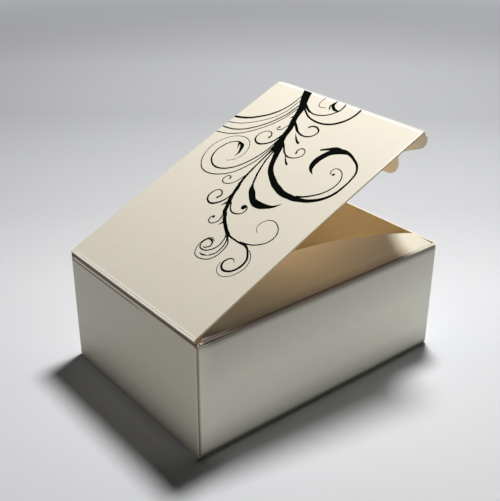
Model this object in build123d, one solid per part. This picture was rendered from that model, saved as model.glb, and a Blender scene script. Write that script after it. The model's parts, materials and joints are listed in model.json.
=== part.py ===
from build123d import *
from math import cos, radians, sin, tan
import os

# A small gift carton folded from one die-cut sheet of ivory board: four walls in a tube, closed by a
# glued seam, and a hinged panel, a tuck flap and two dust flaps at the top and again at the bottom.
# The bottom is shut and the lid stands part open. The origin is the centre of the underside, +Z is up,
# the hinge wall is at -X, the front wall at +X, and the near side wall, which the seam laps, at -Y.
# Lengths are in millimetres and angles in degrees.

# Outside size of the box when it is shut
length = 90.0
width = 64.0
height = 36.8

# Board
board = 0.5

# Play between panels
crease_gap = 0.06
lid_gap = 0.1
tuck_gap = 0.3

# Rest position of the closures, as turned from flat and shut, with a tuck flap turned from in line
lid_open_angle = 24.5
lid_tuck_angle = 105.0
bottom_open_angle = 0.0
bottom_tuck_angle = 96.0

# Folds: a ridge on the turning axis and a channel that the creasing rule has pressed beside it
ridge_width = 0.12
score_width = 0.4
score_depth = 0.12
rim_width = 0.3
rim_radius = 0.15
corner_radius = 0.6

# Glued seam inside the near side wall
glue_flap_width = 12.0
glue_flap_taper_angle = 15.0
adhesive = 0.1
adhesive_inset = 1.0
adhesive_end_inset = 4.0
end_play = 0.15

# Lid and bottom panel; the lid is cut narrower beside the seam, and springs up in a slight bow
lid_near_inset = 1.7
lid_far_inset = 0.2
lid_bow = 0.5
bottom_side_inset = 0.2
panel_chamfer_run = 0.2
panel_chamfer_rise = 0.3

# Tuck flap: ends set in at the fold, full shoulders, then a taper to a tongue with round corners
tuck_depth = 17.9
tuck_root_set_in = 0.8
tuck_root_rise = 1.2
tuck_shoulder = 4.6
tongue_start = 9.6
tongue_inset = 12.2
tongue_half_width = width / 2 - tongue_inset
tuck_root_radius = 1.0
tuck_shoulder_radius = 4.2
tongue_root_radius = 2.0
tongue_corner_radius = 4.5
lid_tuck_side_gap = 0.25
bottom_tuck_side_gap = 0.3

# Dust flap: a 45 degree heel by the hinge, a long low arc, and a shoulder that lets the tuck flap by
dust_depth = 16.0
dust_relief = 1.0
heel_share = 0.62
apex_share = 0.355
shoulder_share = 0.39
shoulder_set_in = 4.4
shoulder_radius = 3.0
toe_play = 0.4
toe_rise = 0.2
foot_set_in = 0.8

# Values that follow from the ones above
half_board = board / 2
fold_depth = ridge_width + score_width
panel_reach = length - half_board - board - tuck_gap - half_board
dust_axis_drop = board + lid_gap + half_board
side_wall_drop = dust_axis_drop + half_board + crease_gap
fold_edge_drop = board + crease_gap
raw_edge_drop = board + lid_gap
glue_face = board + adhesive


def fold(run):
    """The fold of a flap, round on its turning axis, with the flap leaving along +Y and facing +Z."""
    with BuildPart() as made:
        with BuildSketch(Plane.YZ):
            with BuildLine():
                ThreePointArc((0, -half_board), (-half_board, 0), (0, half_board))
                Polyline(
                    (0, half_board),
                    (ridge_width, half_board),
                    (ridge_width, half_board - score_depth),
                    (fold_depth, half_board - score_depth),
                    (fold_depth, -half_board),
                    (0, -half_board),
                )
            make_face()
        extrude(amount=run / 2, both=True)
    return made.part


def long_edge(start, end, bow):
    """A long edge of a panel's section, straight or bowed up at its middle."""
    if bow == 0:
        Line(start, end)
    else:
        middle = ((start[0] + end[0]) / 2, (start[1] + end[1]) / 2 + bow)
        ThreePointArc(start, middle, end)


def closing_panel(run, bow):
    """The lid or the bottom panel, from its fold to the tuck flap's fold, chamfered under that end."""
    far = panel_reach - half_board - crease_gap
    under_root = (fold_depth, -half_board)
    under_end = (far - panel_chamfer_run, -half_board)
    chamfer_end = (far, panel_chamfer_rise - half_board)
    outer_end = (far, half_board)
    outer_root = (fold_depth, half_board)
    with BuildPart() as made:
        with BuildSketch(Plane.YZ):
            with BuildLine():
                long_edge(under_root, under_end, bow)
                Polyline(under_end, chamfer_end, outer_end)
                long_edge(outer_end, outer_root, bow)
                Line(outer_root, under_root)
            make_face()
        extrude(amount=run / 2, both=True)
    return made.part


def tuck_flap(half_width):
    """The flap that goes in behind the opposite wall."""
    corners = [
        (half_width - tuck_root_set_in, fold_depth),
        (half_width, tuck_root_rise),
        (half_width, tuck_shoulder),
        (tongue_half_width, tongue_start),
        (tongue_half_width, tuck_depth),
    ]
    mirrored = [(-x, y) for x, y in reversed(corners)]
    radii = (tuck_root_radius, tuck_shoulder_radius, tongue_root_radius, tongue_corner_radius)
    with BuildPart() as made:
        with BuildSketch() as outline:
            with BuildLine():
                Polyline(*corners, *mirrored, close=True)
            make_face()
            for (_, y), radius in zip(corners[1:], radii):
                level = [v for v in outline.vertices() if abs(v.Y - y) < crease_gap]
                fillet(level, radius=radius)
        extrude(amount=half_board, both=True)
    return made.part


def dust_flap():
    """The near flap, with the hinge wall at the low end of X."""
    back = -length / 2
    front = length / 2
    heel_depth = heel_share * dust_depth
    shoulder_depth = shoulder_share * dust_depth
    toe_set_in = 2 * board + tuck_gap + toe_play
    heel_root = (back + dust_relief + fold_depth, fold_depth)
    heel = (back + dust_relief + heel_depth, heel_depth)
    apex = (back + apex_share * length, dust_depth)
    shoulder = (front - shoulder_set_in, shoulder_depth)
    toe = (front - toe_set_in, fold_depth + toe_rise)
    toe_root = (front - toe_set_in, fold_depth)
    with BuildPart() as made:
        with BuildSketch() as outline:
            with BuildLine():
                Line(heel_root, heel)
                TangentArc(apex, heel, tangent=(-1, 0))
                TangentArc(apex, shoulder, tangent=(1, 0))
                Polyline(shoulder, toe, toe_root, heel_root)
            make_face()
            at_shoulder = outline.vertices().sort_by_distance((*shoulder, 0))[0]
            fillet(at_shoulder, radius=shoulder_radius)
        extrude(amount=half_board, both=True)
    return made.part


def dust_fold():
    """The fold of the near dust flap, which runs on to its foot by the front wall."""
    run = length - dust_relief - foot_set_in
    return Pos((dust_relief - foot_set_in) / 2, 0, 0) * fold(run)


def closure(open_angle, tuck_angle, near_inset, far_inset, bow, tuck_half_width):
    """A panel, its tuck flap and two dust flaps, with the shut panel's outer face at z = 0."""
    lift = radians(open_angle)
    turn = radians(tuck_angle)
    panel_width = width - near_inset - far_inset
    panel_shift = Pos((far_inset - near_inset) / 2, 0, 0)
    hinge = Plane(
        origin=(-length / 2 + half_board, 0, -half_board),
        x_dir=(0, -1, 0),
        z_dir=(-sin(lift), 0, cos(lift)),
    ).location
    tuck_hinge = Plane(
        origin=(0, panel_reach, 0), x_dir=(1, 0, 0), z_dir=(0, sin(turn), cos(turn))
    ).location
    dust_hinge = Plane(
        origin=(0, -width / 2 + half_board, -dust_axis_drop),
        x_dir=(1, 0, 0),
        z_dir=(0, -sin(lift), cos(lift)),
    ).location
    near_flap = dust_hinge * dust_flap()
    near_fold = dust_hinge * dust_fold()
    return {
        "panel": hinge * panel_shift * closing_panel(panel_width, bow),
        "hinge_fold": hinge * panel_shift * fold(panel_width),
        "tuck_flap": hinge * tuck_hinge * tuck_flap(tuck_half_width),
        "tuck_fold": hinge * tuck_hinge * fold(2 * (tuck_half_width - tuck_root_set_in)),
        "near_dust_flap": near_flap,
        "near_dust_fold": near_fold,
        "far_dust_flap": mirror(near_flap, about=Plane.XZ),
        "far_dust_fold": mirror(near_fold, about=Plane.XZ),
    }


def wall(run, low, high, folded_low, folded_high):
    """A wall with its outer face at y = 0, and a pressed channel under each edge that carries a flap."""
    with BuildPart() as made:
        with BuildSketch(Plane.YZ) as section:
            with Locations((half_board, (low + high) / 2)):
                Rectangle(board, high - low)
            ends = [(low, 1)] * folded_low + [(high, -1)] * folded_high
            for edge, inward in ends:
                level = edge + inward * (rim_width + score_width / 2)
                with Locations((score_depth / 2, level)):
                    Rectangle(score_depth, score_width, mode=Mode.SUBTRACT)
            for edge, inward in ends:
                outer = section.vertices().sort_by_distance((0, 0, edge))[0]
                fillet(outer, radius=rim_radius)
        extrude(amount=run / 2, both=True)
    return made.part


def corner_fold(low, high):
    """The bent board of a vertical corner, in the quarter towards +X and +Y of its centre."""
    with BuildPart() as made:
        with BuildSketch():
            Circle(corner_radius)
            Circle(corner_radius - board, mode=Mode.SUBTRACT)
            Rectangle(
                corner_radius,
                corner_radius,
                align=(Align.MIN, Align.MIN),
                mode=Mode.INTERSECT,
            )
        extrude(amount=high - low)
    return Pos(0, 0, low) * made.part


def tube():
    """The four walls, their corners and the glued seam."""
    side_low = side_wall_drop
    side_high = height - side_wall_drop
    corner_x = length / 2 - corner_radius
    corner_y = width / 2 - corner_radius
    seam_y = -width / 2 + glue_face + corner_radius
    hinge_run = corner_y - seam_y
    near_run = corner_x + length / 2
    made = {
        "near_side_wall": Pos(corner_x - near_run / 2, -width / 2, 0)
        * wall(near_run, side_low, side_high, True, True),
        "far_side_wall": Pos(0, width / 2, 0)
        * Rot(0, 0, 180)
        * wall(2 * corner_x, side_low, side_high, True, True),
        "front_wall": Pos(length / 2, 0, 0)
        * Rot(0, 0, 90)
        * wall(2 * corner_y, fold_edge_drop, height - raw_edge_drop, True, False),
        "hinge_wall": Pos(-length / 2, corner_y - hinge_run / 2, 0)
        * Rot(0, 0, -90)
        * wall(hinge_run, 0, height - fold_edge_drop, False, True),
    }
    bend = corner_fold(side_low, side_high)
    made["near_front_corner_fold"] = Pos(corner_x, -corner_y, 0) * Rot(0, 0, 270) * bend
    made["far_front_corner_fold"] = Pos(corner_x, corner_y, 0) * bend
    made["far_hinge_corner_fold"] = Pos(-corner_x, corner_y, 0) * Rot(0, 0, 90) * bend
    made["glue_flap_fold"] = Pos(-corner_x, seam_y, 0) * Rot(0, 0, 180) * bend
    return made


def glue_flap():
    """The hinge wall's glue flap, inside the near side wall, with its two ends cut back."""
    root = -length / 2 + corner_radius
    tip = -length / 2 + glue_flap_width
    low = side_wall_drop + end_play
    high = height - low
    cut_back = (tip - root) * tan(radians(glue_flap_taper_angle))
    with BuildPart() as made:
        with BuildSketch(Plane.XZ):
            with BuildLine():
                Polyline(
                    (root, low),
                    (tip, low + cut_back),
                    (tip, high - cut_back),
                    (root, high),
                    close=True,
                )
            make_face()
        extrude(amount=board)
    return Pos(0, -width / 2 + glue_face + board, 0) * made.part


def seam_adhesive():
    """The film of glue between the glue flap and the near side wall."""
    run = glue_flap_width - corner_radius - 2 * adhesive_inset
    film = Box(
        run,
        adhesive,
        height - 2 * adhesive_end_inset,
        align=(Align.MIN, Align.MIN, Align.MIN),
    )
    start = -length / 2 + corner_radius + adhesive_inset
    return Pos(start, -width / 2 + board, adhesive_end_inset) * film


def carton():
    """Every named piece of the carton, where it lies at rest."""
    made = tube()
    made["glue_flap"] = glue_flap()
    made["seam_adhesive"] = seam_adhesive()
    lid_tuck_half = width / 2 - board - lid_tuck_side_gap
    bottom_tuck_half = width / 2 - glue_face - board - bottom_tuck_side_gap
    top = closure(
        lid_open_angle, lid_tuck_angle, lid_near_inset, lid_far_inset, lid_bow, lid_tuck_half
    )
    bottom = closure(
        bottom_open_angle,
        bottom_tuck_angle,
        bottom_side_inset,
        bottom_side_inset,
        0,
        bottom_tuck_half,
    )
    top_names = {
        "panel": "lid_panel",
        "hinge_fold": "lid_hinge_fold",
        "tuck_flap": "lid_tuck_flap",
        "tuck_fold": "lid_tuck_fold",
    }
    for name, piece in top.items():
        made[top_names.get(name, name)] = Pos(0, 0, height) * piece
    for name, piece in bottom.items():
        made["bottom_" + name] = Rot(0, 180, 0) * piece
    return made


os.makedirs("parts", exist_ok=True)
for node, solid in carton().items():
    export_step(solid, f"parts/{node}.step")
    print(node, "solids", len(solid.solids()), "volume", round(solid.volume, 2))
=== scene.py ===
"""Looks of a small tuck-end gift carton: coated boxboard, glued seam, printed scrolls and the stage."""

import json
import math

import bmesh
import bpy
from mathutils import Matrix, Vector
from mathutils.bvhtree import BVHTree


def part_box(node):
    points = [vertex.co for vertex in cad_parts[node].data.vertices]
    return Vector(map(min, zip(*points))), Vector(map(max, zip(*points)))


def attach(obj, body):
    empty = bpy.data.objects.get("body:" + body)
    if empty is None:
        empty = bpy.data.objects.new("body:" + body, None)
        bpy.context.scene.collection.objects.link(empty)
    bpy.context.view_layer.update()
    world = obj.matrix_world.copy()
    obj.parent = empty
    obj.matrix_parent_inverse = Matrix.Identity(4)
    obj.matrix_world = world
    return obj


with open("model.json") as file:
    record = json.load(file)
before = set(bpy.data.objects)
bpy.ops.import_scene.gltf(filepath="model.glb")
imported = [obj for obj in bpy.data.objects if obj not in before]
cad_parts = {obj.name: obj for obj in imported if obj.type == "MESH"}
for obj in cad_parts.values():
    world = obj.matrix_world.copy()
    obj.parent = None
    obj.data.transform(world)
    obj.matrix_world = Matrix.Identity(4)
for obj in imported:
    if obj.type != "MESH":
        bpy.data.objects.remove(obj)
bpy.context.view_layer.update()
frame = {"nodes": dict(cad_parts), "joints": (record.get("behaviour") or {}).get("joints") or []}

bl_info = {
    "name": "Tuck-end gift carton",
    "version": (1, 0, 0),
    "blender": (4, 5, 0),
    "location": "View3D > Sidebar > Carton",
    "description": "Dresses the folded carton with board, glue and print, and sets its stage",
    "category": "Object",
}

MM = 0.001


def linear(code):
    """The linear colour of an sRGB hex value."""
    parts = [int(code[i : i + 2], 16) / 255 for i in (1, 3, 5)]
    return [p / 12.92 if p <= 0.04045 else ((p + 0.055) / 1.055) ** 2.4 for p in parts]


def rgba(colour):
    """A colour with full cover, as a node's socket takes it."""
    return (*colour, 1.0)


class BoardSettings(bpy.types.PropertyGroup):
    """Colours and surface sizes of the boxboard."""

    coating: bpy.props.FloatVectorProperty(
        name="Coated side",
        description="Ivory of the coated side",
        subtype="COLOR",
        min=0,
        max=1,
        default=linear("#EAE4D4"),
    )
    liner: bpy.props.FloatVectorProperty(
        name="Inner side",
        description="Tan of the uncoated side",
        subtype="COLOR",
        min=0,
        max=1,
        default=linear("#EBDCBC"),
    )
    raw_edge: bpy.props.FloatVectorProperty(
        name="Cut edge",
        description="Cream of the die-cut edge",
        subtype="COLOR",
        min=0,
        max=1,
        default=linear("#F8F1E0"),
    )
    cloud: bpy.props.FloatProperty(
        name="Cloud size",
        description="Breadth of the pulp's pale and dark clouds, in millimetres",
        min=0.5,
        max=20,
        default=4.0,
    )
    fibre: bpy.props.FloatProperty(
        name="Fibre length",
        description="Length of a surface fibre, in millimetres",
        min=0.2,
        max=4,
        default=1.1,
    )
    ripple: bpy.props.FloatProperty(
        name="Ripple size",
        description="Breadth of the board's slow waves, in millimetres",
        min=4,
        max=80,
        default=22.0,
    )


class PrintSettings(bpy.types.PropertyGroup):
    """The ink and how thick it lies."""

    ink: bpy.props.FloatVectorProperty(
        name="Ink",
        description="Greenish black of the ink",
        subtype="COLOR",
        min=0,
        max=1,
        default=linear("#030502"),
    )
    film: bpy.props.FloatProperty(
        name="Film",
        description="How proud the ink stands, in metres",
        subtype="DISTANCE",
        unit="LENGTH",
        precision=6,
        min=0.000005,
        max=0.0001,
        default=0.00002,
    )
    step: bpy.props.FloatProperty(
        name="Step",
        description="Distance between a stroke's cross-sections, in millimetres",
        min=0.1,
        max=2,
        default=0.4,
    )


class StageSettings(bpy.types.PropertyGroup):
    """The sheet that the carton stands on, the lamp and the camera."""

    sheet: bpy.props.FloatVectorProperty(
        name="Sheet",
        description="Colour of the paper sheet under the carton",
        subtype="COLOR",
        min=0,
        max=1,
        default=linear("#EAEDF3"),
    )
    power: bpy.props.FloatProperty(
        name="Lamp power",
        description="Power of the one soft lamp",
        subtype="POWER",
        unit="POWER",
        min=0,
        max=100,
        default=6.75,
    )
    spread: bpy.props.FloatProperty(
        name="Lamp radius",
        description="Radius of the lamp's globe",
        subtype="DISTANCE",
        unit="LENGTH",
        min=0.005,
        max=0.5,
        default=0.045,
    )
    fill: bpy.props.FloatProperty(
        name="Room light", description="Strength of the even light of the room", min=0, max=1, default=0.0
    )
    side_power: bpy.props.FloatProperty(
        name="Side panel power",
        description="Power of the cool soft panel in front of the long wall",
        subtype="POWER",
        unit="POWER",
        min=0,
        max=100,
        default=0.52,
    )
    card_power: bpy.props.FloatProperty(
        name="Card power",
        description="Power of the small white card that faces the carton's mouth",
        subtype="POWER",
        unit="POWER",
        min=0,
        max=10,
        default=0.034,
    )
    end_power: bpy.props.FloatProperty(
        name="End panel power",
        description="Power of the cool soft panel in front of the hinge wall",
        subtype="POWER",
        unit="POWER",
        min=0,
        max=100,
        default=0.098,
    )
    lens: bpy.props.FloatProperty(
        name="Lens",
        description="Focal length on a 36 mm wide sensor, in millimetres",
        subtype="DISTANCE_CAMERA",
        unit="CAMERA",
        min=10,
        max=300,
        default=63.036,
    )


def add(tree, kind, settings=None, values=None, links=None):
    """Adds a node, sets its properties and inputs, and links outputs to its inputs."""
    made = tree.nodes.new(kind)
    for name, value in (settings or {}).items():
        setattr(made, name, value)
    for key, value in (values or {}).items():
        made.inputs[key].default_value = value
    for key, output in (links or {}).items():
        tree.links.new(output, made.inputs[key])
    return made


def blank(name):
    """A new material's node tree with only its output."""
    material = bpy.data.materials.new(name)
    material.use_nodes = True
    tree = material.node_tree
    tree.nodes.clear()
    return material, tree, add(tree, "ShaderNodeOutputMaterial")


SLANT = math.sqrt(0.5)
joint_place = {j["name"]: Vector(j["pos_m"]) for j in frame["joints"]}
LID_ALONG = (joint_place["lid_tuck_hinge"] - joint_place["lid_hinge"]).normalized()
ACROSS = Vector((0, 1, 0))
LID_UP = LID_ALONG.cross(ACROSS)
# how far the tuck flaps are folded over from in line with their panels, in degrees
LID_TUCK_TURN, BOTTOM_TUCK_TURN = 105, 96
TUCK_OUT = Matrix.Rotation(math.radians(LID_TUCK_TURN), 3, "Y") @ LID_UP
NEAR, FAR = Vector((0, -1, 0)), Vector((0, 1, 0))
FRONT, HINGE = Vector((1, 0, 0)), Vector((-1, 0, 0))
UP, DOWN = Vector((0, 0, 1)), Vector((0, 0, -1))
NEAR_DUST_OUT = Vector((0, -LID_ALONG.z, LID_ALONG.x))
FAR_DUST_OUT = Vector((0, LID_ALONG.z, LID_ALONG.x))
BOTTOM_TUCK_OUT = Matrix.Rotation(math.radians(BOTTOM_TUCK_TURN), 3, "Y") @ DOWN

# the way that the coated side of each piece of board faces while the lid stands open
outward = {
    "near_side_wall": NEAR,
    "far_side_wall": FAR,
    "front_wall": FRONT,
    "hinge_wall": HINGE,
    "near_front_corner_fold": (NEAR + FRONT) * SLANT,
    "far_front_corner_fold": (FAR + FRONT) * SLANT,
    "far_hinge_corner_fold": (FAR + HINGE) * SLANT,
    "glue_flap_fold": (NEAR + HINGE) * SLANT,
    "glue_flap": NEAR,
    "lid_panel": LID_UP,
    "lid_hinge_fold": (LID_UP - LID_ALONG) * SLANT,
    "lid_tuck_flap": TUCK_OUT,
    "lid_tuck_fold": (LID_UP + LID_ALONG) * SLANT,
    "near_dust_flap": NEAR_DUST_OUT,
    "far_dust_flap": FAR_DUST_OUT,
    "near_dust_fold": (NEAR + NEAR_DUST_OUT).normalized(),
    "far_dust_fold": (FAR + FAR_DUST_OUT).normalized(),
    "bottom_panel": DOWN,
    "bottom_hinge_fold": (DOWN + FRONT) * SLANT,
    "bottom_tuck_flap": BOTTOM_TUCK_OUT,
    "bottom_tuck_fold": (DOWN + HINGE) * SLANT,
    "bottom_near_dust_flap": DOWN,
    "bottom_far_dust_flap": DOWN,
    "bottom_near_dust_fold": (DOWN + NEAR) * SLANT,
    "bottom_far_dust_fold": (DOWN + FAR) * SLANT,
}

# share of a face's own direction along the coated side's, from which the coating starts and is full
FACE_START, FACE_FULL = 0.5, 0.66
FIBRE_WIDTH = 0.2

LID_START = joint_place["lid_hinge"].dot(LID_ALONG) / MM
ALL_ALONG = ((-100, 1), (100, 1))

# Painted light and shade laid into the board's colour, with a few crease lines: painted shade where one lamp
# leaves the carton too light, painted highlights where it leaves it too dark, and darker lines at cracked
# creases and the seam. Each is a colour, and how far it covers the board along one or two directions, as
# places in millimetres and covers between them
painted_light_and_creases = {
    # the hinge wall: painted shade under the lid's fold, partly its cracked crease, then a painted highlight
    # and a second painted shade line, painted shade at the fold's far end, and painted shade darkening the
    # wall towards the floor
    "hinge_wall": (
        ("#8A7A66", (UP, ((35.2, 0), (35.45, 1), (36.25, 1)))),
        ("#FFF0E0", (UP, ((34.65, 0), (34.8, 1), (35.05, 1), (35.2, 0))), (ACROSS, ((-14, 0), (2, 1)))),
        ("#7E7464", (UP, ((33.85, 0), (34.15, 1), (34.45, 1), (34.65, 0))), (ACROSS, ((-9, 0), (0, 1)))),
        ("#6E6453", (ACROSS, ((29.6, 0), (31.4, 1))), (UP, ((34.4, 0), (35.8, 1)))),
        ("#7A7267", (UP, ((1.0, 0.4), (3.5, 0.15), (8.0, 0)))),
    ),
    # the near wall: painted shade darkening its top, most towards the hinge end, a darker line at the seam
    # for its cut edge and painted shade in its gap, painted shade in the top corner at the seam, and painted
    # shade along its foot, darkening towards the floor
    "near_side_wall": (
        ("#8A8172", (UP, ((20.0, 0), (33.4, 0.33), (35.4, 1))), (FRONT, ((-44.0, 0.3), (-40.0, 1)))),
        ("#A8987E", (FRONT, ((-45.1, 1), (-44.85, 1), (-44.4, 0)))),
        ("#7A6A52", (UP, ((35.5, 0), (35.62, 1))), (FRONT, ((-45.1, 1), (-44.0, 1), (-43.5, 0)))),
        ("#6E665B", (UP, ((0.9, 0.4), (1.5, 0.25), (2.6, 0)))),
        ("#7A7267", (UP, ((1.0, 0.55), (4.0, 0.25), (9.0, 0)))),
    ),
    # painted shade where the carton's foot meets the floor, along the bottom's near dust fold and the
    # bottom's near edge
    "bottom_near_dust_fold": (("#6E665B", (UP, ALL_ALONG)),),
    "bottom_panel": (("#5E564A", (ACROSS, ((-31.9, 1), (-31.6, 1), (-31.45, 0)))),),
    # painted highlight: two corner folds lightened, standing for light shining through the folded board
    "near_front_corner_fold": (("#FFFCEE", (UP, ALL_ALONG)),),
    "far_hinge_corner_fold": (("#FFFCEE", (UP, ALL_ALONG)),),
    # painted highlight down the glue flap's rounded fold, and painted shade at its top under the lid
    "glue_flap_fold": (
        ("#FBF6EC", (UP, ((0, 0.7), (35.0, 0.7), (35.3, 0)))),
        ("#5E5240", (UP, ((34.6, 0), (35.4, 1)))),
    ),
    # painted shade over the near dust flap's fold in the lid's shadow, deepest towards the hinge end
    "near_dust_fold": (
        ("#7A6552", (FRONT, ((-43.8, 0.1), (-42.4, 1), (30.0, 1), (37.0, 0)))),
        ("#54463A", (FRONT, ((-43.6, 0.3), (-42.2, 1), (-40.0, 1), (-35.0, 0)))),
    ),
    # painted shade: the near dust flap is darkened and browned for the lid's shadow and its warm bounce
    # light, more towards its fold and its hinge end
    "near_dust_flap": (
        ("#D6C5AB", (FRONT, ((-45.0, 1), (29.0, 1), (36.0, 0)))),
        (
            "#6B5746",
            (ACROSS, ((-31.3, 0.45), (-30.4, 0.25), (-29.0, 0))),
            (FRONT, ((-43.5, 0), (-42.0, 1), (29.0, 1), (35.0, 0))),
        ),
        (
            "#54463A",
            (ACROSS, ((-31.4, 1), (-30.9, 0.9), (-30.3, 0.3), (-29.2, 0))),
            (FRONT, ((-45.0, 1), (-40.0, 1), (-35.0, 0))),
        ),
    ),
    # painted highlight lightening the lid's hinge fold
    "lid_hinge_fold": (("#FFF9F0", (UP, ALL_ALONG)),),
    # the lid: painted highlights beside the hinge fold, along the far edge and along the near edge's far
    # part, and a thin painted shade line at the near edge
    "lid_panel": (
        ("#FFF9F0", (LID_ALONG, ((LID_START + 0.4, 1), (LID_START + 0.7, 1), (LID_START + 1.3, 0)))),
        ("#FFFCF6", (LID_ALONG, ((LID_START + 87.5, 0), (LID_START + 87.9, 1), (LID_START + 88.5, 1)))),
        (
            "#FFFBF2",
            (ACROSS, ((-30.3, 1), (-29.9, 0.7), (-29.4, 0))),
            (LID_ALONG, ((LID_START + 66.0, 0), (LID_START + 76.0, 1))),
        ),
        ("#D8C8A2", (ACROSS, ((-30.32, 1), (-30.28, 1), (-30.24, 0)))),
    ),
    # painted highlights lightening the tuck fold and the tuck flap
    "lid_tuck_fold": (("#FFFCF6", (UP, ALL_ALONG)),),
    "lid_tuck_flap": (("#FAF1DD", (UP, ALL_ALONG)),),
}


def cover_along(tree, place, way, stops):
    """How far a mark covers the board along a direction: its ramp between stops."""
    along = add(
        tree,
        "ShaderNodeVectorMath",
        {"operation": "DOT_PRODUCT"},
        {1: way},
        {0: place.outputs["Object"]},
    )
    first, last = stops[0][0], stops[-1][0]
    share = add(
        tree,
        "ShaderNodeMapRange",
        None,
        {"From Min": first * MM, "From Max": last * MM},
        {"Value": along.outputs["Value"]},
    )
    ramp = add(tree, "ShaderNodeValToRGB", None, None, {"Fac": share.outputs["Result"]})
    elements = ramp.color_ramp.elements
    for number, (distance, cover) in enumerate(stops):
        at = (distance - first) / (last - first)
        stop = elements[0] if number == 0 else elements[-1] if number == len(stops) - 1 else elements.new(at)
        stop.color = (cover, cover, cover, 1.0)
    return ramp.outputs["Color"]


def seen_directly(tree):
    """1 for the rays of the camera, of mirror images and through clear things, 0 for the rest."""
    path = add(tree, "ShaderNodeLightPath")
    seen = path.outputs["Is Camera Ray"]
    for kind in ("Is Glossy Ray", "Is Transmission Ray"):
        either = add(
            tree,
            "ShaderNodeMath",
            {"operation": "MAXIMUM"},
            None,
            {0: seen, 1: path.outputs[kind]},
        )
        seen = either.outputs["Value"]
    return seen


def with_painted_light_and_creases(tree, place, colour, name):
    """The colour of a piece with its painted shade, painted highlights and crease lines laid over it."""
    for code, *ramps in painted_light_and_creases.get(name, ()):
        covers = [cover_along(tree, place, way, stops) for way, stops in ramps]
        if len(covers) == 2:
            both = add(
                tree,
                "ShaderNodeMath",
                {"operation": "MULTIPLY"},
                None,
                {0: covers[0], 1: covers[1]},
            )
            covers = [both.outputs["Value"]]
        laid = add(
            tree,
            "ShaderNodeMix",
            {"data_type": "RGBA"},
            {"B": rgba(linear(code))},
            {"Factor": covers[0], "A": colour},
        )
        colour = laid.outputs["Result"]
    return colour


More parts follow.
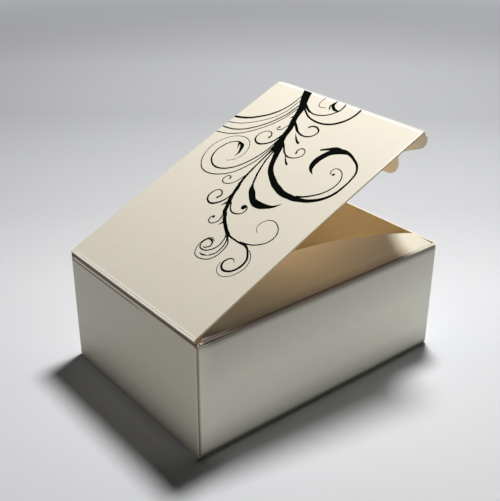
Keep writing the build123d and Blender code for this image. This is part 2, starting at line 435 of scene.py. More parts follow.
def boxboard(name, out, creased):
    """Folding boxboard, clay-coated on one side by a blade: the coated side is smooth, ivory and barely
    glossy, the back shows tan fibres and clouds of pulp, and a die-cut edge is rough and paler."""
    board = bpy.context.scene.carton_board
    material, tree, output = blank(f"clay_coated_boxboard_{name}")
    place = add(tree, "ShaderNodeTexCoord")
    facing = add(
        tree,
        "ShaderNodeVectorMath",
        {"operation": "DOT_PRODUCT"},
        {1: out},
        {0: place.outputs["Normal"]},
    )
    is_coated = add(
        tree,
        "ShaderNodeMapRange",
        {"interpolation_type": "SMOOTHSTEP"},
        {"From Min": FACE_START, "From Max": FACE_FULL},
        {"Value": facing.outputs["Value"]},
    )
    is_liner = add(
        tree,
        "ShaderNodeMapRange",
        {"interpolation_type": "SMOOTHSTEP"},
        {"From Min": -FACE_START, "From Max": -FACE_FULL},
        {"Value": facing.outputs["Value"]},
    )
    # clouds of pulp some 4 mm across, as a sheet held to the light shows them
    clouds = add(
        tree,
        "ShaderNodeTexNoise",
        None,
        {"Scale": 1 / (board.cloud * MM), "Detail": 3.0, "Roughness": 0.6},
        {"Vector": place.outputs["Object"]},
    )
    # fibres are 0.03 mm wide, too fine to show, so they are drawn 0.2 mm wide
    stretch = add(
        tree,
        "ShaderNodeMapping",
        None,
        {"Rotation": (0.0, 0.0, 0.6), "Scale": (1.0, FIBRE_WIDTH / board.fibre, 1.0)},
        {"Vector": place.outputs["Object"]},
    )
    fibres = add(
        tree,
        "ShaderNodeTexNoise",
        None,
        {"Scale": 1 / (FIBRE_WIDTH * MM), "Detail": 4.0, "Roughness": 0.65, "Distortion": 0.4},
        {"Vector": stretch.outputs["Vector"]},
    )
    # the board never lies quite flat: waves of about 22 mm
    waves = add(
        tree,
        "ShaderNodeTexNoise",
        None,
        {"Scale": 1 / (board.ripple * MM), "Detail": 1.0, "Roughness": 0.4},
        {"Vector": place.outputs["Object"]},
    )
    coat = add(
        tree,
        "ShaderNodeMix",
        {"data_type": "RGBA"},
        {"A": rgba([c * 0.955 for c in board.coating]), "B": rgba([min(1, c * 1.02) for c in board.coating])},
        {"Factor": clouds.outputs["Fac"]},
    )
    liner_shade = add(
        tree,
        "ShaderNodeMix",
        {"data_type": "RGBA"},
        {
            "A": rgba([c * s for c, s in zip(board.liner, (0.86, 0.83, 0.76))]),
            "B": rgba([min(1, c * 1.08) for c in board.liner]),
        },
        {"Factor": fibres.outputs["Fac"]},
    )
    liner = add(
        tree,
        "ShaderNodeMix",
        {"data_type": "RGBA", "blend_type": "MULTIPLY"},
        {"Factor": 0.12},
        {"A": liner_shade.outputs["Result"], "B": clouds.outputs["Color"]},
    )
    cut = add(
        tree,
        "ShaderNodeMix",
        {"data_type": "RGBA"},
        {"A": rgba([c * 0.8 for c in board.raw_edge]), "B": rgba([min(1, c * 1.08) for c in board.raw_edge])},
        {"Factor": fibres.outputs["Fac"]},
    )
    backed = add(
        tree,
        "ShaderNodeMix",
        {"data_type": "RGBA"},
        None,
        {"Factor": is_liner.outputs["Result"], "A": cut.outputs["Result"], "B": liner.outputs["Result"]},
    )
    coated = is_coated.outputs["Result"]
    if creased:
        # the coating cracks along a fold in flakes about half a millimetre long
        flakes = add(
            tree,
            "ShaderNodeTexNoise",
            None,
            {"Scale": 1 / (0.5 * MM), "Detail": 5.0, "Roughness": 0.7},
            {"Vector": place.outputs["Object"]},
        )
        whole = add(
            tree,
            "ShaderNodeMapRange",
            None,
            {"From Min": 0.36, "From Max": 0.46, "To Min": 0.35, "To Max": 1.0},
            {"Value": flakes.outputs["Fac"]},
        )
        kept = add(
            tree,
            "ShaderNodeMath",
            {"operation": "MULTIPLY"},
            None,
            {0: coated, 1: whole.outputs["Result"]},
        )
        coated = kept.outputs["Value"]
    colour = add(
        tree,
        "ShaderNodeMix",
        {"data_type": "RGBA"},
        None,
        {"Factor": coated, "A": backed.outputs["Result"], "B": coat.outputs["Result"]},
    )
    # the coating takes light with a soft sheen that the fibres break up a little
    sheen_break = add(
        tree,
        "ShaderNodeMapRange",
        None,
        {"To Min": 0.46, "To Max": 0.56},
        {"Value": fibres.outputs["Fac"]},
    )
    roughness = add(
        tree,
        "ShaderNodeMix",
        {"data_type": "FLOAT"},
        {"A": 0.88},
        {"Factor": coated, "B": sheen_break.outputs["Result"]},
    )
    # fibres stand 0.004 mm under the coating and 0.02 mm where the board is bare
    relief = add(
        tree,
        "ShaderNodeMapRange",
        None,
        {"To Min": 0.02 * MM, "To Max": 0.004 * MM},
        {"Value": coated},
    )
    fine = add(
        tree,
        "ShaderNodeMath",
        {"operation": "MULTIPLY"},
        None,
        {0: fibres.outputs["Fac"], 1: relief.outputs["Result"]},
    )
    height = add(
        tree,
        "ShaderNodeMath",
        {"operation": "MULTIPLY_ADD"},
        {1: 0.12 * MM},
        {0: waves.outputs["Fac"], 2: fine.outputs["Value"]},
    )
    bump = add(
        tree,
        "ShaderNodeBump",
        None,
        {"Strength": 1.0, "Distance": 1.0},
        {"Height": height.outputs["Value"]},
    )
    shader = add(
        tree,
        "ShaderNodeBsdfPrincipled",
        None,
        {"IOR": 1.5, "Specular IOR Level": 0.35},
        {
            "Base Color": with_painted_light_and_creases(tree, place, colour.outputs["Result"], name),
            "Roughness": roughness.outputs["Result"],
            "Normal": bump.outputs["Normal"],
        },
    )
    tree.links.new(shader.outputs["BSDF"], output.inputs["Surface"])
    return material


def dress(names):
    """Gives each named piece of board its own material, by the way its coated side faces."""
    for name in names:
        piece = frame["nodes"][name]
        piece.material_slots[0].material = boxboard(name, outward[name], name.endswith("_fold"))


def dried_adhesive():
    """Water-based carton adhesive, rolled on and dried: milky, smooth and a little glossy."""
    material, tree, output = blank("dried_carton_adhesive_rolled")
    place = add(tree, "ShaderNodeTexCoord")
    streaks = add(
        tree,
        "ShaderNodeTexNoise",
        None,
        {"Scale": 1 / (1.5 * MM), "Detail": 2.0},
        {"Vector": place.outputs["Object"]},
    )
    colour = add(
        tree,
        "ShaderNodeMix",
        {"data_type": "RGBA"},
        {"A": rgba(linear("#E4DFCD")), "B": rgba(linear("#F0EDE0"))},
        {"Factor": streaks.outputs["Fac"]},
    )
    shader = add(
        tree,
        "ShaderNodeBsdfPrincipled",
        None,
        {"IOR": 1.47, "Roughness": 0.35},
        {"Base Color": colour.outputs["Result"]},
    )
    tree.links.new(shader.outputs["BSDF"], output.inputs["Surface"])
    return material


def printed_ink():
    """Black offset ink on coated board: dense, dull, and a little uneven where the fibres lift it."""
    material, tree, output = blank("offset_ink_printed_black")
    ink = bpy.context.scene.carton_print.ink
    place = add(tree, "ShaderNodeTexCoord")
    # the ink lies unevenly over 0.3 mm, as the board's surface takes it up
    mottle = add(
        tree,
        "ShaderNodeTexNoise",
        None,
        {"Scale": 1 / (0.3 * MM), "Detail": 3.0, "Roughness": 0.6},
        {"Vector": place.outputs["Object"]},
    )
    colour = add(
        tree,
        "ShaderNodeMix",
        {"data_type": "RGBA"},
        {"A": rgba([c * 0.7 for c in ink]), "B": rgba([c * 1.6 for c in ink])},
        {"Factor": mottle.outputs["Fac"]},
    )
    gloss = add(
        tree,
        "ShaderNodeMapRange",
        None,
        {"To Min": 0.42, "To Max": 0.6},
        {"Value": mottle.outputs["Fac"]},
    )
    shader = add(
        tree,
        "ShaderNodeBsdfPrincipled",
        None,
        {"IOR": 1.5, "Specular IOR Level": 0.01},
        {"Base Color": colour.outputs["Result"], "Roughness": gloss.outputs["Result"]},
    )
    tree.links.new(shader.outputs["BSDF"], output.inputs["Surface"])
    return material


# The print, in millimetres of the lid: along from the hinge fold, across from the edge over the glued
# seam, and the stroke's breadth. A point without a breadth takes one between its neighbours'.
STEM = {
    "trunk": (
        (90, 48.7, 3.5), (88.7, 48, 3.4), (86, 46.7, 3), (82, 44.1, 2.4), (80, 43, 2.3), (76, 41.5, 1.9),
        (72, 39.4, 2.1), (68, 38.2, 2.1), (64, 36.5, 3), (62, 35.6, 1.6),
    ),
    "trunk_barb": ((77.5, 42.4, 0.7), (75.7, 43.2, 0.3)),
    "left_stem": (
        (65.5, 37.2, 1.6), (63.5, 37, 1.3), (60, 36.6, 0.7), (55, 36.1, 0.6), (50, 35.4, 0.85),
        (47, 34.7, 1), (45, 33.8, 1.2), (42, 32.8, 1.2), (40, 31.8, 1.4), (38, 30.6, 1.3), (36, 29.5, 1.3),
        (35, 28.2), (34, 27.3), (33, 26, 1.1), (32, 24.5), (31, 22.9, 1.1), (30.2, 21.2, 1.1),
        (29.9, 20, 0.6), (29.7, 18, 0.55), (29.6, 16, 0.6), (29.8, 14.5, 0.9),
    ),
    "left_barb": ((33.2, 26.2, 0.8), (31.5, 26.8, 0.3)),
    "upper_barb": ((39.2, 31.6, 0.9), (37.2, 32.5, 0.3)),
    "leaf_hook": (
        (64.5, 36.2, 1.8), (61.5, 35.8, 0.7), (60, 35.5, 0.5), (58, 35.1), (56, 34.4), (54, 33.6, 0.6),
        (52, 32.7), (50, 31.6), (48, 30.4, 0.7), (46.3, 29, 1.6), (44.7, 27, 2), (43.4, 25.2, 2),
        (42.8, 23.3, 2.5), (42.8, 21.3, 2.5), (43.4, 19.3, 1.7), (44.4, 17.4, 0.9), (46.4, 15.9, 0.1),
    ),
    "leaf_spike": ((46.8, 29.3, 1), (46.2, 28, 0.9), (45.4, 26.3, 0.15)),
}
SCROLLS = {
    "big_scroll": (
        (66, 37, 1.6), (64, 35.6, 2.2), (60, 33.4, 1.9), (57, 31.7, 1.7), (55, 30, 1.75), (53.5, 28, 1.8),
        (52.3, 26, 2), (51.2, 24, 2.1), (50.5, 22, 2.2), (49.8, 20, 2.15), (49.55, 18, 2.1), (49.6, 16, 2),
        (49.7, 14, 1.8), (50.2, 12, 1.5), (50.9, 10, 1.4), (52.5, 7.7, 1.2), (54.5, 6, 1), (57, 5, 0.9),
        (60, 4.7, 0.7), (63, 4.8, 0.6), (66, 5.5, 0.6), (68.4, 7.4, 0.7), (70, 10, 0.8), (71.2, 13, 1.1),
        (71.2, 15, 1.9), (70.6, 17, 2.5), (69.2, 18.7, 2.3), (67.3, 19.6, 2.2), (65, 20.1, 2.2),
        (62.7, 19.8, 1.8), (61, 18.8, 1), (59.6, 16.8, 0.1),
    ),
    "scroll_barb": ((71.2, 17.4, 1.8), (71, 18.8, 1.6), (70.2, 20.3, 1.1), (68.8, 22.4, 0.7)),
    "tendril": (
        (50.6, 14.3, 0.8), (51.5, 12.4), (53, 10.5, 0.6), (55, 8.6, 0.5), (57.5, 7.4), (60, 7.1, 0.4),
        (62.3, 7.7), (64.2, 9.3, 0.3), (64.9, 11.1), (64.6, 12.3), (63.4, 12.7), (62.3, 12, 0.3),
    ),
    "tendril_dot": ((62.45, 11.1, 0.85), (62.55, 11, 0.85)),
    "left_loop": (
        (66, 38.6, 0.45), (62, 38.3), (58, 38.8), (55, 39.7, 0.5), (52, 41.2), (50, 42.9),
        (48.4, 45.4, 0.6), (47.9, 48.1, 0.6), (48.6, 50.7), (50.3, 52.9, 0.5), (52.5, 54),
        (54.5, 54.2, 0.45), (57, 53.6), (58.8, 52.3, 0.35), (59.7, 50.5, 0.5), (59.5, 49, 0.9),
        (58.9, 47.7, 1.3), (57.5, 46.8, 1.1), (56, 46.1, 0.7), (54.4, 46.1, 0.15),
    ),
    "loop_barb": ((59.3, 49.6, 0.7), (57.2, 48.1, 0.1)),
    "loop_echo": (
        (64, 37.7, 0.4), (60, 37.6, 0.4), (56.5, 37.7), (53.5, 38.4), (51, 39.4), (49, 40.6),
        (47, 42.7, 0.4), (45.5, 45.5), (44.8, 48.5, 0.4), (45.2, 51.5), (46.7, 54), (49, 56, 0.3),
        (52, 57.2), (55, 57.5, 0.25), (58, 56.6), (60.5, 54.7, 0.2), (61.9, 52), (62.2, 49.3, 0.25),
        (61.3, 46.8), (59.3, 44.9), (56.5, 44), (54, 44.6, 0.2), (52.3, 46), (51.6, 47.5, 0.1),
    ),
    "lower_curl": (
        (29.8, 15.4, 0.8), (29.6, 12.6, 0.65), (28.5, 10.8, 0.6), (26.5, 8.8, 0.65), (24, 8.3, 0.7),
        (21.5, 9.2, 0.7), (20.3, 11.3, 0.7), (20.8, 13.2, 0.65), (22.4, 14.1, 0.6), (24, 13.5, 0.45),
        (24.5, 12.2, 0.3), (23.9, 11.2, 0.15),
    ),
    "lower_curl_echo": (
        (29.2, 12.4, 0.2), (28.7, 10, 0.25), (27, 7.9), (24, 6.8), (20.5, 7.9), (18.6, 10.3), (18.9, 13),
        (20.8, 14.6), (22, 14.6, 0.15),
    ),
    "lower_loop": (
        (29.9, 14.7, 0.7), (30.7, 12, 0.45), (32, 9.8), (34, 8.2), (36.5, 7.9, 0.35), (38.8, 9.2),
        (40.2, 11.5, 0.3), (40.4, 13.3), (39.4, 15), (37.6, 15.7), (36, 15.2), (34.9, 13.8, 0.15),
    ),
}
SWEEPS = {
    "first_sweep": (
        (86, 48.2, 0.3), (83, 48.1), (80, 48.35, 0.5), (77, 49.3), (74.5, 50.9, 0.75), (72.5, 52.9),
        (70.5, 55.5, 0.85), (69.3, 57.9), (68.4, 61, 0.95), (68, 64, 0.95),
    ),
    "second_sweep": (
        (84.5, 46.6, 0.3), (82, 46.9), (79, 46.8), (76, 47.6), (73.5, 48.8), (71, 51), (69, 53.3),
        (67.2, 56), (66, 58.7), (65.2, 62.1), (64.8, 64, 0.3),
    ),
    "third_sweep": (
        (82.6, 45, 0.5), (80, 45.4), (77, 45.6), (74.5, 46.4), (71.5, 47.8), (69, 49.5), (67, 51.3),
        (65, 53.6), (63.5, 56.8), (62.9, 60), (62.7, 64, 0.5),
    ),
    "fourth_sweep": (
        (81, 44.2, 0.35), (79, 44.5), (76, 44.8), (73, 45.7), (70.5, 46.8), (67.5, 48.8), (65, 50.9),
        (62.8, 53.6), (61.2, 56.7), (60.3, 60), (59.8, 64, 0.35),
    ),
    "outer_end_sweep": (
        (82, 43.4, 0.8), (80.4, 41, 0.6), (79, 38.5, 0.6), (78.2, 36, 0.65), (77.9, 33, 0.7), (78.2, 30.5),
        (79.2, 28.1, 0.85), (81, 26.2, 0.9), (83.2, 24.9, 0.8), (86, 24.3, 0.75), (90, 24.6, 0.75),
    ),
    "inner_end_sweep": (
        (83.2, 44, 0.9), (81.2, 40.5, 0.8), (80.5, 38, 0.5), (80.6, 35.7), (81.5, 33.5, 0.5), (83, 31.8),
        (85, 30.7), (87, 30.6, 0.5), (90, 31.3, 0.5),
    ),
    "end_leaf": (
        (90, 34.3, 0.4), (88.7, 34.5, 0.4), (87.3, 34.8, 0.9), (86.2, 34.4, 1), (85.3, 33.3, 1),
        (84.8, 31.9, 0.9), (85.1, 30.1, 0.1),
    ),
    "end_leaf_barb": ((84.2, 34.2, 0.3), (85.8, 35.2, 0.6), (87.3, 34.8, 0.6)),
    "end_curl": ((84.6, 36, 0.2), (84, 37.3), (84.3, 38.8), (85.5, 39.6), (87.2, 39.7), (90, 39.5, 0.3)),
}
CURLS = {
    "rosette_core": (
        (30, 21.7, 0.5), (28.5, 20.8, 0.4), (26, 20.2), (24, 20.8), (22.6, 22.3), (22.3, 24.1), (23, 25.4),
        (24.6, 25.8), (25.9, 25.2, 0.4), (26.2, 24, 0.7), (25.6, 22.9, 0.5), (24.4, 22.4), (23.4, 23.2),
        (23.1, 24.1, 0.3),
    ),
    "rosette_middle": ((29.5, 20.8, 0.5), (28.2, 19.6, 0.4), (26, 18.8), (23.5, 18.8), (21.8, 20, 0.4)),
    "rosette_leaf": ((21.5, 20.3, 0.2), (21, 21.8, 0.5), (21, 23.3, 0.15)),
    "rosette_rim": (
        (29.5, 20.6, 0.4), (27.5, 18.3, 0.35), (24.6, 17.6), (21.9, 18.1), (20.3, 19.6), (19.6, 22.1),
        (20, 24.2), (21.4, 25.4), (23.2, 26.1), (25, 26), (26.2, 25.4), (26.9, 24.3), (26.3, 22.9, 0.2),
    ),
    "bud": (
        (35, 28.8, 0.5), (34, 28.6, 0.35), (32.5, 28.1), (31.1, 28.8), (30.5, 30), (31, 31.1), (32, 31.6),
        (33, 31.2, 0.35),
    ),
    "bud_dot": ((32.75, 30.9, 0.9), (32.85, 30.9, 0.9)),
    "drop_curl": (
        (39.5, 31, 0.7), (39.3, 30.4, 0.5), (37.8, 29, 0.4), (36.9, 27.5, 0.5), (36.8, 26), (37.4, 24.5),
        (38.6, 23.7, 0.4), (40, 24), (40.7, 25, 0.4),
    ),
    "drop_dot": ((39.95, 25.4, 1.7), (40.05, 25.4, 1.7)),
    "hook_curl": (
        (45, 34.2, 0.6), (44, 33.9, 0.4), (42, 33.2), (40, 33.2), (38, 34, 0.6), (36.5, 35.5, 0.7),
        (36.1, 37, 0.6), (36.8, 38.7), (38.3, 39.7, 0.5), (40.2, 39.6), (41.4, 38.6, 0.3),
        (41.4, 37.3, 0.4), (40.6, 36.2, 0.5), (39.6, 36, 0.6), (38.8, 36.4, 0.7),
    ),
    "small_curl": (
        (49.5, 35.7, 0.4), (48.5, 35.9, 0.3), (46.5, 36.4), (45, 37.4), (44.2, 39), (44.5, 40.6),
        (45.8, 41.3), (47.1, 40.7), (47.2, 39.7, 0.35), (46.5, 39.3, 0.6),
    ),
    "upper_curl": (
        (69, 39.1, 0.6), (67, 39.3, 0.6), (65, 39.7), (63.3, 40.9, 0.65), (62.1, 42.9, 0.7), (62.3, 44.9),
        (63.5, 46.4, 0.5), (65.2, 46.8, 0.35), (67, 46.2, 0.3), (67.9, 44.7, 0.3), (67.6, 43.2, 0.4),
        (66.7, 42.4, 0.5), (65.5, 42.3, 0.6),
    ),
    "tiny_curl": (
        (72.9, 40.4, 0.4), (72.5, 41.1, 0.3), (70.9, 41.3), (69.9, 42.1), (69.8, 43), (70.3, 43.6, 0.3),
    ),
    "tiny_dot": ((70.85, 43.1, 0.75), (70.95, 43.1, 0.75)),
    "middle_curl": (
        (66, 36.4, 0.8), (65.3, 35.2, 0.6), (64.3, 34, 0.6), (62.9, 32.3), (62, 30.5, 0.5), (61.9, 28.8),
        (62.6, 27, 0.4), (64.2, 25.8, 0.35), (65.9, 26.3, 0.3), (66.7, 27.7), (66.1, 28.8, 0.4), (65, 28.9),
        (64.2, 28.4, 0.6),
    ),
    "middle_barb": ((61.9, 30.8, 0.2), (60.3, 29, 0.5), (59.2, 27.4, 0.7)),
    "teardrop": ((70.9, 35.6, 0.15), (69.3, 33.8, 0.5), (68.3, 32.3, 0.7), (67.9, 31.4, 0.8)),
    "right_curl": (
        (75.4, 41, 1), (74.8, 40, 0.9), (73.2, 37.7, 0.9), (71.8, 35.6, 0.7), (71.1, 33, 0.6),
        (71.5, 30.7, 0.55), (73, 29.4, 0.5), (74.7, 29.4, 0.5), (75.9, 31, 0.6), (76, 32.5, 0.6),
        (75.5, 33.5), (74.9, 33.8, 0.7),
    ),
}
PRINT_END = 88.36
PRINT_SIDE = 62.05
FINEST_STROKE = 0.06
CAP_ANGLES = (85, 68, 48, 24)
# where strokes cross, each film lies this share of its thickness above the one before it in the pile
LAP_SHARE = 0.02
STEM_LEVEL, SCROLLS_LEVEL, SWEEPS_LEVEL, CURLS_LEVEL = 0, 10, 24, 36


def with_breadths(points):
    """The points as vectors, with the missing breadths filled in along the stroke."""
    known = [i for i, p in enumerate(points) if len(p) == 3]
    full = []
    for i, p in enumerate(points):
        if len(p) == 3:
            full.append(Vector(p))
            continue
        before = max(k for k in known if k < i)
        after = min(k for k in known if k > i)
        share = (i - before) / (after - before)
        breadth = points[before][2] + (points[after][2] - points[before][2]) * share
        full.append(Vector((p[0], p[1], breadth)))
    return full


def smooth_line(points, step):
    """Cross-sections of a stroke a step apart, on a smooth line through its points."""
    line = []
    ends = [points[0] * 2 - points[1], *points, points[-1] * 2 - points[-2]]
    for a, b, c, d in zip(ends, ends[1:], ends[2:], ends[3:]):
        count = max(1, math.ceil((c - b).xy.length / step))
        for k in range(count):
            t = k / count
            line.append(
                b
                + (c - a) * (t / 2)
                + (a * 2 - b * 5 + c * 4 - d) * (t * t / 2)
                + (b * 3 - a - c * 3 + d) * (t**3 / 2)
            )
    line.append(points[-1])
    return line


def sections(points, step):
    """Centre, direction and half breadth of each cross-section, with a round cap at either end."""
    line = smooth_line(with_breadths(points), step)
    cuts = []
    for i, here in enumerate(line):
        before, after = line[max(0, i - 1)], line[min(len(line) - 1, i + 1)]
        cuts.append((here.xy, (after - before).xy.normalized(), max(here.z, FINEST_STROKE) / 2))
    first, last = cuts[0], cuts[-1]
    for angle in reversed(CAP_ANGLES):
        run, half = math.sin(math.radians(angle)), math.cos(math.radians(angle))
        cuts.insert(0, (first[0] - first[1] * first[2] * run, first[1], first[2] * half))
        cuts.append((last[0] + last[1] * last[2] * run, last[1], last[2] * half))
    caps = len(CAP_ANGLES)
    return sorted_caps(cuts, caps)


def sorted_caps(cuts, caps):
    """The cross-sections in order along the stroke: the caps were added from the middle outwards."""
    head, body, tail = cuts[:caps], cuts[caps:-caps], cuts[-caps:]
    head.sort(key=lambda cut: -(cut[0] - body[0][0]).length)
    tail.sort(key=lambda cut: (cut[0] - body[-1][0]).length)
    return head + body + tail


def lid_surface():
    """Tells where a point of the print lies on the lid's coated side."""
    mesh = frame["nodes"]["lid_panel"].data
    faces = BVHTree.FromPolygons([v.co for v in mesh.vertices], [p.vertices for p in mesh.polygons])
    corner = joint_place["lid_hinge"].copy()
    corner.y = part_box("lid_panel")[0].y
    reach = 5 * MM

    def spot(along, across):
        kept_along = min(along, PRINT_END)
        kept_across = min(across, PRINT_SIDE)
        above = corner + LID_ALONG * (kept_along * MM) + ACROSS * (kept_across * MM) + LID_UP * reach
        hit = faces.ray_cast(above, -LID_UP, 2 * reach)[0]
        if hit is None:
            raise RuntimeError(f"no lid under the print at {along:.1f}, {across:.1f}")
        return hit + LID_ALONG * ((along - kept_along) * MM) + ACROSS * ((across - kept_across) * MM)

    return spot


def print_strokes(name, strokes, level):
    """Lays a group of strokes on the lid as thin closed films of ink, cut off at the lid's edges."""
    settings = bpy.context.scene.carton_print
    spot = lid_surface()
    bm = bmesh.new()
    for number, points in enumerate(strokes.values()):
        lift = settings.film * (1 + LAP_SHARE * (level + number))
        rings = []
        for centre, ahead, half in sections(points, settings.step):
            side = Vector((-ahead.y, ahead.x)) * half
            left, right = spot(*(centre + side)), spot(*(centre - side))
            corners = (
                left + LID_UP * lift,
                right + LID_UP * lift,
                right - LID_UP * settings.film,
                left - LID_UP * settings.film,
            )
            rings.append([bm.verts.new(c) for c in corners])
        for one, two in zip(rings, rings[1:]):
            for k in range(4):
                bm.faces.new((one[k], one[(k + 1) % 4], two[(k + 1) % 4], two[k]))
        bm.faces.new(rings[0][::-1])
        bm.faces.new(rings[-1])
    corner = joint_place["lid_hinge"].copy()
    corner.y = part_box("lid_panel")[0].y
    cuts = (
        (corner + LID_ALONG * (PRINT_END * MM), LID_ALONG),
        (corner + ACROSS * (PRINT_SIDE * MM), ACROSS),
    )
    for place, way in cuts:
        everything = bm.verts[:] + bm.edges[:] + bm.faces[:]
        bmesh.ops.bisect_plane(bm, geom=everything, dist=1e-7, plane_co=place, plane_no=way, clear_outer=True)
        rim = [e for e in bm.edges if e.is_boundary]
        bmesh.ops.holes_fill(bm, edges=rim, sides=0)
    bmesh.ops.recalc_face_normals(bm, faces=bm.faces[:])
    mesh = bpy.data.meshes.new(name)
    bm.to_mesh(mesh)
    bm.free()
    mesh.materials.append(bpy.data.materials.get("offset_ink_printed_black") or printed_ink())
    piece = bpy.data.objects.new(name, mesh)
    bpy.context.scene.collection.objects.link(piece)
    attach(piece, "lid")
    return piece


class CARTON_OT_tube(bpy.types.Operator):
    """Dress the four walls and the three plain corner folds."""

    bl_idname = "carton.tube"
    bl_label = "Walls and corners"

    def execute(self, context):
        dress(
            (
                "near_side_wall",
                "far_side_wall",
                "front_wall",
                "hinge_wall",
                "near_front_corner_fold",
                "far_front_corner_fold",
                "far_hinge_corner_fold",
            )
        )
        return {"FINISHED"}


class CARTON_OT_seam(bpy.types.Operator):
    """Dress the glue flap, its fold and the adhesive that holds it."""

    bl_idname = "carton.seam"
    bl_label = "Glued seam"

    def execute(self, context):
        dress(("glue_flap", "glue_flap_fold"))
        frame["nodes"]["seam_adhesive"].material_slots[0].material = dried_adhesive()
        return {"FINISHED"}


class CARTON_OT_lid(bpy.types.Operator):
    """Dress the lid, its tuck flap and their folds."""

    bl_idname = "carton.lid"
    bl_label = "Lid and tuck flap"

    def execute(self, context):
        dress(("lid_panel", "lid_hinge_fold", "lid_tuck_flap", "lid_tuck_fold"))
        return {"FINISHED"}


class CARTON_OT_dust_flaps(bpy.types.Operator):
    """Dress the two curved dust flaps under the lid."""

    bl_idname = "carton.dust_flaps"
    bl_label = "Dust flaps"

    def execute(self, context):
        dress(("near_dust_flap", "near_dust_fold", "far_dust_flap", "far_dust_fold"))
        return {"FINISHED"}


class CARTON_OT_bottom(bpy.types.Operator):
    """Dress the bottom closure."""

    bl_idname = "carton.bottom"
    bl_label = "Bottom closure"

    def execute(self, context):
        dress(name for name in outward if name.startswith("bottom_"))
        return {"FINISHED"}


class CARTON_OT_print_stem(bpy.types.Operator):
    """Print the stem that branches from the lid's far end."""

    bl_idname = "carton.print_stem"
    bl_label = "Printed stem"

    def execute(self, context):
        print_strokes("print_stem", STEM, STEM_LEVEL)
        return {"FINISHED"}


class CARTON_OT_print_scrolls(bpy.types.Operator):
    """Print the large scrolls."""

    bl_idname = "carton.print_scrolls"
    bl_label = "Printed scrolls"

    def execute(self, context):
        print_strokes("print_scrolls", SCROLLS, SCROLLS_LEVEL)
        return {"FINISHED"}


class CARTON_OT_print_sweeps(bpy.types.Operator):
    """Print the long sweeps that run off the lid's edges."""

    bl_idname = "carton.print_sweeps"
    bl_label = "Printed sweeps"

    def execute(self, context):
        print_strokes("print_sweeps", SWEEPS, SWEEPS_LEVEL)
        return {"FINISHED"}


class CARTON_OT_print_curls(bpy.types.Operator):
    """Print the small curls and buds."""

    bl_idname = "carton.print_curls"
    bl_label = "Printed curls"

    def execute(self, context):
        print_strokes("print_curls", CURLS, CURLS_LEVEL)
        return {"FINISHED"}


# The stage, in metres. The sheet turns pale between two distances from the carton, and the shade painted into
# its colour runs backwards from the camera in stops of millimetres.
SHEET_SIDE = 6.0
PALE_FROM, PALE_FULL = 0.38, 0.85
ROOM_TINT, ROOM_SEEN = "#F2F4FA", 0.8
SHEET_BACK = Vector((0.6313, 0.7755, 0))
SHEET_PAINTED_SHADE = ((10, 1), (40, 0.98), (105, 0.82), (230, 0.73), (330, 0.92), (450, 1))
LAMP_PLACE = Vector((0.109, 0.056, 0.405))
LAMP_TINT = (1.0, 0.98, 0.95)
SIDE_PLACE = Vector((0.31, -0.34, 0.011))
SIDE_AIM = Vector((0.01, 0.0, 0.015))
SIDE_SPAN = (0.40, 0.018)
SIDE_TINT = (0.84, 0.94, 1.0)
CARD_PLACE = Vector((0.125, 0.012, 0.018))
CARD_AIM = Vector((0.0, 0.018, 0.062))
CARD_SPAN = (0.05, 0.02)
CARD_TINT = (1.0, 0.87, 0.76)
CARD_SPREAD = math.radians(40)
FRONT_PIECES = (
    "front_wall",
    "near_front_corner_fold",
    "far_front_corner_fold",
    "lid_tuck_flap",
    "lid_tuck_fold",
)
END_PLACE = Vector((-0.40, -0.14, 0.018))
END_AIM = Vector((-0.045, 0.0, 0.03))
END_SPAN = (0.16, 0.03)
END_TINT = (1.0, 0.95, 0.92)
CAMERA_PLACE = Vector((-0.149411, -0.180663, 0.157237))
CAMERA_AHEAD = Vector((0.56001, 0.68788, -0.46174))
CAMERA_UP = Vector((0.28747, 0.36136, 0.88700))
SENSOR = 36.0


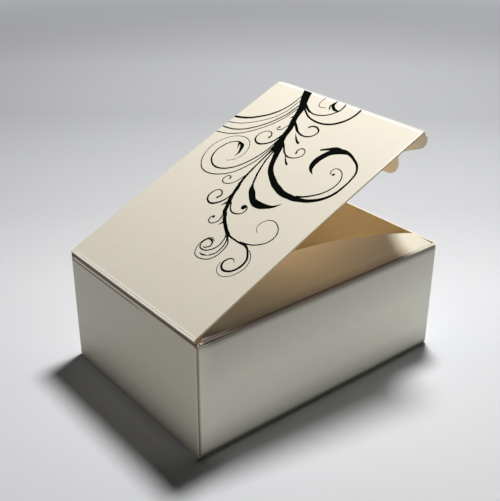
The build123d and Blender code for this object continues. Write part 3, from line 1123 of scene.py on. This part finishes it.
def background_paper():
    """Heavy uncoated paper, calendered: dead matt, faintly cool, with only a trace of fibre."""
    material, tree, output = blank("background_paper_matt")
    sheet = bpy.context.scene.carton_stage.sheet
    place = add(tree, "ShaderNodeTexCoord")
    # drifts of tone some 60 mm across, as a large sheet shows them
    drift = add(
        tree,
        "ShaderNodeTexNoise",
        None,
        {"Scale": 1 / (60 * MM), "Detail": 2.0},
        {"Vector": place.outputs["Object"]},
    )
    colour = add(
        tree,
        "ShaderNodeMix",
        {"data_type": "RGBA"},
        {"A": rgba([c * 0.985 for c in sheet]), "B": rgba([min(1, c * 1.01) for c in sheet])},
        {"Factor": drift.outputs["Fac"]},
    )
    # painted shade: the sheet's colour is a little greyer behind the carton, for the lamp's light falling
    # off, and pale again farther behind
    toned = add(
        tree,
        "ShaderNodeMix",
        {"data_type": "RGBA", "blend_type": "MULTIPLY"},
        {"Factor": 1.0},
        {"A": colour.outputs["Result"], "B": cover_along(tree, place, SHEET_BACK, SHEET_PAINTED_SHADE)},
    )
    shader = add(
        tree,
        "ShaderNodeBsdfPrincipled",
        None,
        {"IOR": 1.5, "Roughness": 0.9, "Specular IOR Level": 0.2},
        {"Base Color": toned.outputs["Result"]},
    )
    # far off, where the lamp no longer reaches, the sheet is seen as pale as the room behind it
    far = add(tree, "ShaderNodeVectorMath", {"operation": "LENGTH"}, None, {0: place.outputs["Object"]})
    away = add(
        tree,
        "ShaderNodeMapRange",
        {"interpolation_type": "SMOOTHSTEP"},
        {"From Min": PALE_FROM, "From Max": PALE_FULL},
        {"Value": far.outputs["Value"]},
    )
    pale = add(
        tree,
        "ShaderNodeMath",
        {"operation": "MULTIPLY"},
        None,
        {0: away.outputs["Result"], 1: seen_directly(tree)},
    )
    room = add(tree, "ShaderNodeEmission", None, {"Color": rgba(linear(ROOM_TINT)), "Strength": ROOM_SEEN})
    mixed = add(
        tree,
        "ShaderNodeMixShader",
        None,
        None,
        {0: pale.outputs["Value"], 1: shader.outputs["BSDF"], 2: room.outputs["Emission"]},
    )
    tree.links.new(mixed.outputs["Shader"], output.inputs["Surface"])
    return material


class CARTON_OT_stage(bpy.types.Operator):
    """Set the sheet, the lamp, the room light and the camera."""

    bl_idname = "carton.stage"
    bl_label = "Stage"

    def execute(self, context):
        settings = context.scene.carton_stage
        mesh = bpy.data.meshes.new("floor_sheet")
        half = SHEET_SIDE / 2
        corners = [(-half, -half, 0), (half, -half, 0), (half, half, 0), (-half, half, 0)]
        mesh.from_pydata(corners, [], [(0, 1, 2, 3)])
        mesh.materials.append(background_paper())
        floor = bpy.data.objects.new("floor_sheet", mesh)
        context.scene.collection.objects.link(floor)

        lamp = bpy.data.lights.new("soft_lamp", "POINT")
        lamp.energy = settings.power
        lamp.color = LAMP_TINT
        lamp.shadow_soft_size = settings.spread
        lamp_object = bpy.data.objects.new("soft_lamp", lamp)
        lamp_object.location = LAMP_PLACE
        context.scene.collection.objects.link(lamp_object)

        panels = (
            ("side_panel", settings.side_power, SIDE_TINT, SIDE_SPAN, SIDE_PLACE, SIDE_AIM, math.pi),
            ("end_panel", settings.end_power, END_TINT, END_SPAN, END_PLACE, END_AIM, math.pi),
            ("mouth_card", settings.card_power, CARD_TINT, CARD_SPAN, CARD_PLACE, CARD_AIM, CARD_SPREAD),
        )
        pieces = [piece for piece in context.scene.objects if piece.type == "MESH" and piece is not floor]
        front = [frame["nodes"][name] for name in FRONT_PIECES]
        for name, power, tint, span, place, aim, spread in panels:
            panel = bpy.data.lights.new(name, "AREA")
            panel.shape = "RECTANGLE"
            panel.energy = power
            panel.color = tint
            panel.size, panel.size_y = span
            panel.spread = spread
            panel_object = bpy.data.objects.new(name, panel)
            panel_object.location = place
            panel_object.rotation_euler = (aim - place).to_track_quat("-Z", "Y").to_euler()
            panel_object.visible_camera = False
            context.scene.collection.objects.link(panel_object)
            # the panels light the carton alone, and the card leaves out the front that it stands close to
            lit = bpy.data.collections.new(f"lit_by_{name}")
            for piece in pieces:
                if name != "mouth_card" or piece not in front:
                    lit.objects.link(piece)
            panel_object.light_linking.receiver_collection = lit

        world = bpy.data.worlds.new("pale_room")
        world.use_nodes = True
        tree = world.node_tree
        tree.nodes.clear()
        # the room gives little light, and is only seen pale, or mirrored pale in gloss
        strength = add(
            tree,
            "ShaderNodeMapRange",
            None,
            {"To Min": settings.fill, "To Max": ROOM_SEEN},
            {"Value": seen_directly(tree)},
        )
        light = add(
            tree,
            "ShaderNodeBackground",
            None,
            {"Color": rgba(linear(ROOM_TINT))},
            {"Strength": strength.outputs["Result"]},
        )
        add(tree, "ShaderNodeOutputWorld", None, None, {"Surface": light.outputs["Background"]})
        context.scene.world = world

        camera = bpy.data.cameras.new("camera")
        camera.lens = settings.lens
        camera.sensor_width = SENSOR
        camera.clip_start = 0.01
        camera.clip_end = 20
        camera_object = bpy.data.objects.new("camera", camera)
        context.scene.collection.objects.link(camera_object)
        right = CAMERA_AHEAD.cross(CAMERA_UP).normalized()
        turned = Matrix((right, CAMERA_UP.normalized(), -CAMERA_AHEAD.normalized())).transposed()
        camera_object.matrix_world = Matrix.Translation(CAMERA_PLACE) @ turned.to_4x4()
        context.scene.camera = camera_object
        context.scene.view_settings.view_transform = "Standard"
        return {"FINISHED"}


STEPS = (
    CARTON_OT_tube,
    CARTON_OT_seam,
    CARTON_OT_lid,
    CARTON_OT_dust_flaps,
    CARTON_OT_bottom,
    CARTON_OT_print_stem,
    CARTON_OT_print_scrolls,
    CARTON_OT_print_sweeps,
    CARTON_OT_print_curls,
    CARTON_OT_stage,
)


class CARTON_PT_panel(bpy.types.Panel):
    """Lists the carton's steps and settings in the sidebar."""

    bl_idname = "CARTON_PT_panel"
    bl_label = "Gift carton"
    bl_space_type = "VIEW_3D"
    bl_region_type = "UI"
    bl_category = "Carton"

    def draw(self, context):
        for step in STEPS:
            self.layout.operator(step.bl_idname)
        for group in (context.scene.carton_board, context.scene.carton_print, context.scene.carton_stage):
            box = self.layout.box()
            for name in group.__annotations__:
                box.prop(group, name)


CLASSES = (BoardSettings, PrintSettings, StageSettings, *STEPS, CARTON_PT_panel)


def register():
    """Registers the classes and the scene's settings."""
    for cls in CLASSES:
        bpy.utils.register_class(cls)
    bpy.types.Scene.carton_board = bpy.props.PointerProperty(type=BoardSettings)
    bpy.types.Scene.carton_print = bpy.props.PointerProperty(type=PrintSettings)
    bpy.types.Scene.carton_stage = bpy.props.PointerProperty(type=StageSettings)


def unregister():
    """Takes the settings and classes out again."""
    del bpy.types.Scene.carton_stage
    del bpy.types.Scene.carton_print
    del bpy.types.Scene.carton_board
    for cls in reversed(CLASSES):
        bpy.utils.unregister_class(cls)


def main():
    """Builds everything in order."""
    register()
    for step in STEPS:
        group, name = step.bl_idname.split(".")
        getattr(getattr(bpy.ops, group), name)()


if __name__ == "__main__":
    main()
